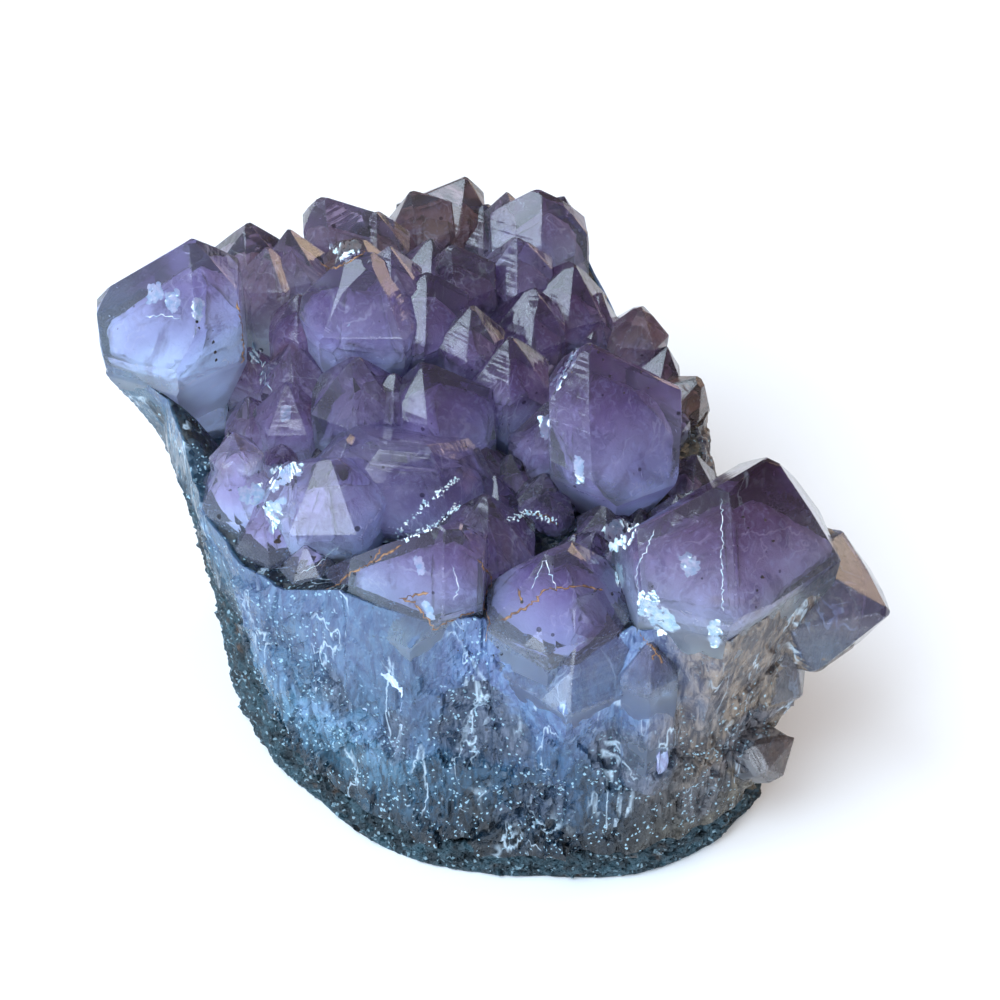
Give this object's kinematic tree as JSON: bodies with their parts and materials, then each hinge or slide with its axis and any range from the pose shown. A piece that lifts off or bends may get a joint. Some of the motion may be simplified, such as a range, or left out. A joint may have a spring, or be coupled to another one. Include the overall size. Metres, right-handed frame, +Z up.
{
  "type": "amethyst cluster",
  "caption": "Broken piece of geode wall: glossy violet quartz points over milky columnar quartz, on a thin dark rock skin. Stands free as a display specimen.",
  "frame": {"origin": "middle of the bounding box in plan, on the surface that the specimen stands on", "axes": "+X towards the side with the largest point, which is the longest extent; -Y towards the broken front face; +Z up, the way the points grow"},
  "size_m": [0.1141, 0.1023, 0.0775],
  "materials": {
    "amethyst": "polished",
    "basalt": "matte"
  },
  "bodies": {
    "root": {"amethyst_crystals": "amethyst", "basalt_rind": "basalt"}
  },
  "joints": []
}
